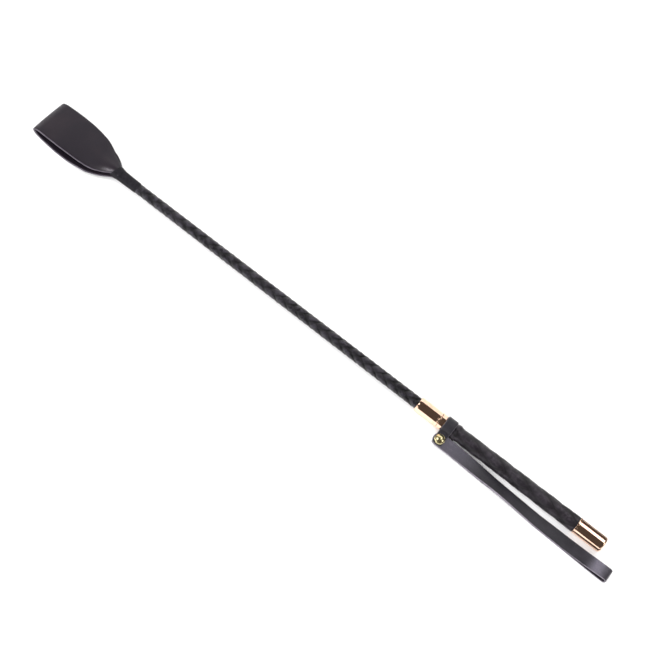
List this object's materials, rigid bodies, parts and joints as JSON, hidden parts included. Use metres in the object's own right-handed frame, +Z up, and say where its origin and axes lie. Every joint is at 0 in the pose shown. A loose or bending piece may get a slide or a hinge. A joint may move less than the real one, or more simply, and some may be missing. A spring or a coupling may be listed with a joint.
{
  "type": "riding crop",
  "caption": "Short riding crop with a folded leather flap, plaited shaft, metal ferrule, riveted wrist strap, plaited grip and a metal butt cap.",
  "frame": {"origin": "centre of the butt cap's end face, on the crop's axis", "axes": "+X along the crop and out of its butt, +Z up as it lies on a table, wrist strap on the -Y side"},
  "size_m": [0.6216, 0.0491, 0.016],
  "materials": {
    "black_leather": "satin, fine grain",
    "waxed_thread": "matt",
    "rose_gold": "mirror polished rose-gold plate",
    "rivet_brass": "polished",
    "glass_fibre": "matt",
    "bush_plastic": "matt",
    "former_wood": "unfinished"
  },
  "bodies": {
    "crop": {"core_rod": "glass_fibre", "shaft_plait": "black_leather", "shaft_seizing": "waxed_thread", "flap_tail": "black_leather", "neck_binding": "waxed_thread", "ferrule": "rose_gold", "ferrule_bush": "bush_plastic", "grip_former": "former_wood", "grip_plait": "black_leather", "grip_seizing_front": "waxed_thread", "grip_seizing_rear": "waxed_thread", "butt_cap": "rose_gold"},
    "flap": {"flap": "black_leather"},
    "collar": {"collar_band": "black_leather", "rivet_head": "rivet_brass", "rivet_back": "rivet_brass"},
    "strap": {"wrist_strap": "black_leather"}
  },
  "joints": [
    {"name": "flap_flex", "type": "hinge", "parent": "crop", "child": "flap", "pos_m": [-0.5297, 0, 0], "axis": [0, 1, 0], "range_deg": [-25, 25], "stiffness_Nm_per_rad": 0.6},
    {"name": "collar_turn", "type": "hinge", "parent": "crop", "child": "collar", "pos_m": [-0.16675, 0, 0], "axis": [1, 0, 0], "continuous": true},
    {"name": "strap_swing", "type": "hinge", "parent": "collar", "child": "strap", "pos_m": [-0.16675, -0.01372, -0.00367], "axis": [0, 0.2588, -0.9659], "range_deg": [0, 100]}
  ]
}
